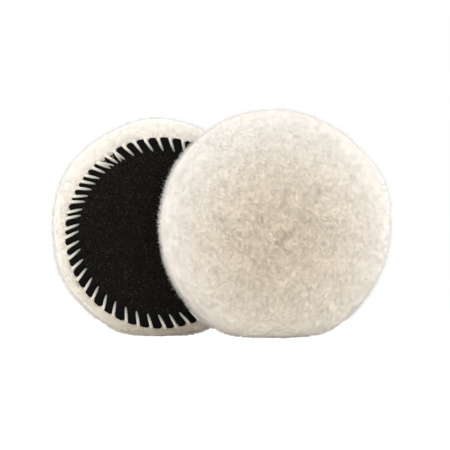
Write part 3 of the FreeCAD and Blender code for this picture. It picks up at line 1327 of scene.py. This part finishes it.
@dataclass
class LoopedBack:
    """The black looped cloth of a pad, which puffs up between the stitches."""

    place: PadPlace
    seam: Seam
    seed: int
    around: int = 720
    fine_step: float = 0.75
    fine_width: float = 15.0
    coarse_step: float = 5.0
    puff: float = 2.3
    tooth_pinch: float = 2.0
    tooth_corner: float = 2.0
    tooth_gap: float = 0.9  # from the thread's line to where a tooth starts
    groove: float = 1.9
    pillow_height: float = 0.5
    pillow_width: float = 1.9
    edge_width: float = 2.6  # how far in from its edge the cloth turns down
    edge_drop: float = 1.2
    loops: int = 6500
    loop_width: float = 1.5
    loop_height: float = 1.2
    loop_thread: float = 0.2
    loop_foot: float = 0.35  # how far under the loop face the loops start
    loop_gap: float = 2.0  # from a thread's line to the nearest loops
    tight_share: float = 0.25  # how tall the loops are where the cloth is pulled tight

    def cushion(self) -> bpy.types.Object:
        """Makes the cloth as a cylinder with its top inset ring by ring, then pressed by the thread.

        Returns:
            The piece.
        """
        depth = self.place.level_of("foam_lining", False)
        radius = self.seam.disc_radius
        bpy.ops.mesh.primitive_cylinder_add(vertices=self.around, radius=radius, depth=depth,
                                            end_fill_type="NGON")
        piece = bpy.context.object
        piece.name = self.place.named("looped_cloth")
        piece.data.name = piece.name
        with editing():
            bpy.ops.mesh.select_all(action="DESELECT")
        top = max(piece.data.polygons, key=lambda face: face.center.z)
        top.select = True
        with editing():
            for _ in range(int(self.fine_width / self.fine_step)):
                bpy.ops.mesh.inset(thickness=self.fine_step, depth=0.0)
            left = radius - self.fine_width
            while left > 1.5 * self.coarse_step:
                bpy.ops.mesh.inset(thickness=self.coarse_step, depth=0.0)
                left -= self.coarse_step
            bpy.ops.mesh.poke()
            bpy.ops.mesh.select_all(action="SELECT")
            bpy.ops.mesh.normals_make_consistent(inside=False)
        bpy.ops.object.shade_smooth()
        points = corners_of(piece)
        local = np.stack([points[:, 0], depth / 2 - points[:, 2], points[:, 1]], axis=1)
        shaped, tight = self.press(local, depth)
        move_corners(piece, self.place.place(shaped))
        set_mask(piece, "tight", tight)
        set_mask(piece, "tone", np.zeros(len(tight)))
        turn_outwards(piece)
        return piece

    def press(self, local: np.ndarray, depth: float) -> tuple[np.ndarray, np.ndarray]:
        """Puffs the cloth's edge out between the stitches and presses the stitches in.

        Args:
            local: the flat disc's corners.
            depth: the disc's thickness.

        Returns:
            The new corners, and how tight the cloth is pulled at each.
        """
        radius = off_axis(local)
        gap = self.seam.thread_gap(local)
        top = local[:, 1] < depth / 2
        outwards = np.clip((radius - self.seam.needle_circle) / self.seam.reach, 0.0, 1.0)
        at_stitch = np.exp(-((gap / (1.1 + 0.35 * outwards)) ** 2))
        past_hole = ramp(radius, self.seam.needle_circle - 1.6, self.seam.needle_circle + 0.6)
        level = np.where(top, self.groove * at_stitch * past_hole, depth)
        pillow = 1.0 - np.exp(-((gap / self.pillow_width) ** 2))
        level -= np.where(top, self.pillow_height * pillow * past_hole, 0.0)
        edge = ramp(radius, self.seam.disc_radius - self.edge_width, self.seam.disc_radius)
        level += np.where(top, self.edge_drop * edge ** 2, 0.0)
        corner = np.clip((gap - self.tooth_gap) / self.tooth_corner, 0.0, 1.0)
        reach = (self.puff + self.tooth_pinch) * np.sqrt(1.0 - (1.0 - corner) ** 2) - self.tooth_pinch
        new_radius = radius + edge * reach * np.where(top, 1.0, 0.6)
        noise = Noise(self.seed)
        rough = 0.28 * noise.at(local, 2.2) + 0.18 * noise.at(local + 9.0, 1.1)
        level += np.where(top, rough * (1 - 0.7 * past_hole), 0.0)
        scale = (new_radius / np.maximum(radius, 1e-6))[:, None]
        shaped = local * np.where(radius[:, None] > 1e-6, scale, 1.0)
        shaped[:, 1] = level
        return shaped, ramp(radius, self.seam.needle_circle - 2.0, self.seam.needle_circle + 3.0)

    def off_threads(self, radius: np.ndarray, angle: np.ndarray) -> np.ndarray:
        """Moves places that lie on or near a thread to the middle of the disc.

        Args:
            radius: how far each place lies from the axis.
            angle: its angle, in radians.

        Returns:
            The new radii.
        """
        places = round_axis(radius, 0.0, angle)
        near = (radius > self.seam.needle_circle - 1.0) & (self.seam.thread_gap(places) < self.loop_gap)
        return np.where(near, radius * 0.85 * np.abs(np.sin(7.0 * angle)) ** 0.5, radius)

    def loop_field(self) -> bpy.types.Object:
        """Makes the loops that stand on the cloth, each a small closed arch of thread.

        Returns:
            The piece.
        """
        random = np.random.default_rng(self.seed + 5)
        radius = np.sqrt(random.uniform(0.0, 1.0, self.loops)) * (self.seam.disc_radius + 1.0)
        angle = random.uniform(0.0, 2 * np.pi, self.loops)
        radius = self.off_threads(radius, angle)
        foot = round_axis(radius, self.loop_foot, angle)
        heading = random.uniform(0.0, 2 * np.pi, self.loops)
        along = round_axis(1.0, 0.0, heading)
        up = unit(np.stack([0.5 * random.normal(size=self.loops), np.full(self.loops, -1.0),
                            0.5 * random.normal(size=self.loops)], axis=1))
        arc = np.linspace(0.0, np.pi, 5)[None, :, None]
        wide = self.loop_width / 2 * random.uniform(0.7, 1.3, self.loops)[:, None, None]
        tight = ramp(radius, self.seam.needle_circle - 1.0, self.seam.needle_circle + 2.0)
        inside = 1.0 - (1.0 - self.tight_share) * tight
        tall = (self.loop_height * inside * random.uniform(0.7, 1.2, self.loops))[:, None, None]
        lines = foot[:, None] + wide * np.cos(arc) * along[:, None] + tall * np.sin(arc) * up[:, None]
        radii = np.full((self.loops, lines.shape[1] - 1), self.loop_thread)
        points, faces = tubes(lines, radii, 3)
        piece = new_piece(self.place.named("loops"), self.place.place(points), faces)
        set_mask(piece, "tight", np.zeros(len(points)))
        tone = random.uniform(0.0, 1.0, self.loops) ** 3 * inside
        set_mask(piece, "tone", np.repeat(tone, len(points) // self.loops))
        return piece

    def build(self) -> None:
        """Makes and dresses the looped back of the pad."""
        for piece in (self.cushion(), self.loop_field()):
            LOOPS.dress(piece)
            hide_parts(self.place.named("loop_face"), self.place.named("ground_cloth"))
            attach(piece, self.place.body)
            LOG.info("%s: %d faces", piece.name, len(piece.data.polygons))


# ---------------------------------------------------------------- studio


def look_along(direction: np.ndarray) -> tuple[float, float, float]:
    """Gives the Euler angles of a camera or lamp that looks along a direction."""
    x, y, z = (float(v) for v in direction)
    return math.atan2(math.hypot(x, y), -z), 0.0, math.atan2(-x, y)


@dataclass(frozen=True)
class Lamp:
    """A soft square lamp that points at the middle of the pair. Places and sizes are in metres."""

    name: str
    place: tuple[float, float, float]
    side: float
    power: float  # in watts
    aim: tuple[float, float, float] = (0.0, 0.0, 0.09)

    def hang(self) -> None:
        """Adds the lamp to the scene."""
        data = bpy.data.lights.new(self.name, "AREA")
        data.size = self.side
        data.energy = self.power
        lamp = bpy.data.objects.new(self.name, data)
        bpy.context.scene.collection.objects.link(lamp)
        lamp.location = self.place
        lamp.rotation_euler = look_along(np.array(self.aim) - np.array(self.place))


LAMPS = (Lamp("top_light", (-0.1, -0.2, 1.6), 2.6, 16.5),
         Lamp("left_light", (-1.3, -0.5, 0.1), 1.8, 16.5),
         Lamp("right_light", (1.3, -0.6, 0.12), 1.8, 18.0))


@dataclass(frozen=True)
class Studio:
    """The floor, the light and the camera. Places and sizes are in metres."""

    lens: float = 73.0
    distance: float = 0.700
    camera_height: float = 0.020
    aim_height: float = 0.0886
    aim_depth: float = 0.0184  # from the front pad's wool face back to what the camera aims at
    camera_x: float = 0.007
    floor_size: float = 6.0
    world_strength: float = 0.98
    fill: tuple[float, float, float] = (1.0, 0.955, 0.895)
    bounce: tuple[float, float, float] = (0.95, 0.93, 0.89)  # the floor's colour to all but the camera
    floor_glow: float = 0.62  # to the camera alone, so that the floor looks white

    def floor(self) -> None:
        """Lays a pale floor that takes the object's shadow."""
        bpy.ops.mesh.primitive_plane_add(size=self.floor_size, location=(0.0, 0.0, 0.0))
        floor = bpy.context.object
        floor.name = "studio_floor"
        material = bpy.data.materials.new("floor_white")
        material.use_nodes = True
        nodes = Nodes(material.node_tree)
        shader = material.node_tree.nodes["Principled BSDF"]
        seen = nodes.add("LightPath").outputs["Is Camera Ray"]
        settings = {"Roughness": 1.0, "Specular IOR Level": 0.0,
                    "Base Color": nodes.mix(seen, self.bounce, WHITE), "Emission Color": WHITE,
                    "Emission Strength": nodes.math("MULTIPLY", seen, self.floor_glow)}
        for socket, value in settings.items():
            nodes.feed(shader.inputs[socket], value)
        floor.data.materials.append(material)

    def world(self) -> None:
        """Lights the object evenly, and shows white behind it."""
        world = bpy.data.worlds.new("studio_world")
        bpy.context.scene.world = world
        world.use_nodes = True
        nodes = Nodes(world.node_tree)
        back = world.node_tree.nodes["Background"]
        path = nodes.add("LightPath")
        seen = nodes.math("MAXIMUM", path.outputs["Is Camera Ray"], path.outputs["Is Glossy Ray"])
        seen = nodes.math("MAXIMUM", seen, path.outputs["Is Transmission Ray"])
        strength = nodes.math("MULTIPLY_ADD", seen, 1.0 - self.world_strength, self.world_strength)
        nodes.link(strength, back.inputs["Strength"])
        nodes.link(nodes.mix(seen, self.fill, WHITE), back.inputs["Color"])

    def camera(self) -> None:
        """Places the camera low in front of the pair, looking slightly up."""
        data = bpy.data.cameras.new("studio_camera")
        data.lens = self.lens
        data.sensor_width = 36.0
        data.clip_start, data.clip_end = 0.01, 20.0
        camera = bpy.data.objects.new("studio_camera", data)
        bpy.context.scene.collection.objects.link(camera)
        aim_y = float(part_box("front_wool_pile")[0][1]) + self.aim_depth
        aim = np.array([self.camera_x, aim_y, self.aim_height])
        place = np.array([self.camera_x, aim_y - self.distance, self.camera_height])
        camera.location = place
        camera.rotation_euler = look_along(aim - place)
        bpy.context.scene.camera = camera

    def build(self) -> None:
        """Sets the whole studio up."""
        self.camera()
        self.floor()
        self.world()
        for lamp in LAMPS:
            lamp.hang()
        bpy.context.scene.view_settings.view_transform = "Standard"


# ---------------------------------------------------------------- the pair

FRONT_SWELLS = (Swell(70.0, 20.0, 1.0), Swell(157.0, 14.0, 2.0), Swell(195.0, 30.0, -1.5),
                Swell(0.0, 30.0, -1.8), Swell(300.0, 15.0, 1.0), Swell(240.0, 15.0, 1.5))
REAR_SWELLS = (Swell(225.0, 18.0, -2.0), Swell(185.0, 18.0, -2.2), Swell(145.0, 16.0, 1.5),
               Swell(95.0, 24.0, 2.5))
FRONT_CREASES = (
    Crease((1.5, -13.5), (13.5, -3.5), 2.4, 2.4),
    Crease((-22.0, 6.0), (-6.0, 3.0), 4.0, 1.8),
    Crease((4.0, 12.0), (9.0, 26.0), 2.2, 1.0),
)
REAR_CREASES = (
    Crease((-18.0, 10.0), (2.0, 18.0), 2.6, 2.0),
    Crease((8.0, -22.0), (22.0, -14.0), 3.6, 1.6),
)


def dress_cad_nodes(place: PadPlace) -> None:
    """Gives the pad's own CAD layers that stay their finish."""
    for node, finish in (("hide", SKIN), ("foam_lining", LINING)):
        finish.dress(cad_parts[place.named(node)])


def main() -> None:
    """Builds both pads and the studio, piece by piece."""
    logging.basicConfig(level=logging.INFO, format="%(message)s")
    bpy.ops.object.select_all(action="DESELECT")
    rear, front = PadPlace(Pad.REAR), PadPlace(Pad.FRONT)
    fleeces = (
        Fleece(rear, REAR_CREASES, REAR_SWELLS, 11, locks=52000, fuller_angle=120.0, fuller_by=3.2),
        Fleece(front, FRONT_CREASES, FRONT_SWELLS, 23, locks=64000, fuller_angle=100.0, fuller_by=2.0),
    )
    for fleece in fleeces:
        place, seed = fleece.place, fleece.seed
        seam = Seam(place.disc_radius)
        fleece.build()
        LoopedBack(place, seam, seed).build()
        Stitching(place, seam).build()
        dress_cad_nodes(place)
    Studio().build()


if __name__ == "__main__":
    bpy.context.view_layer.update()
    main()
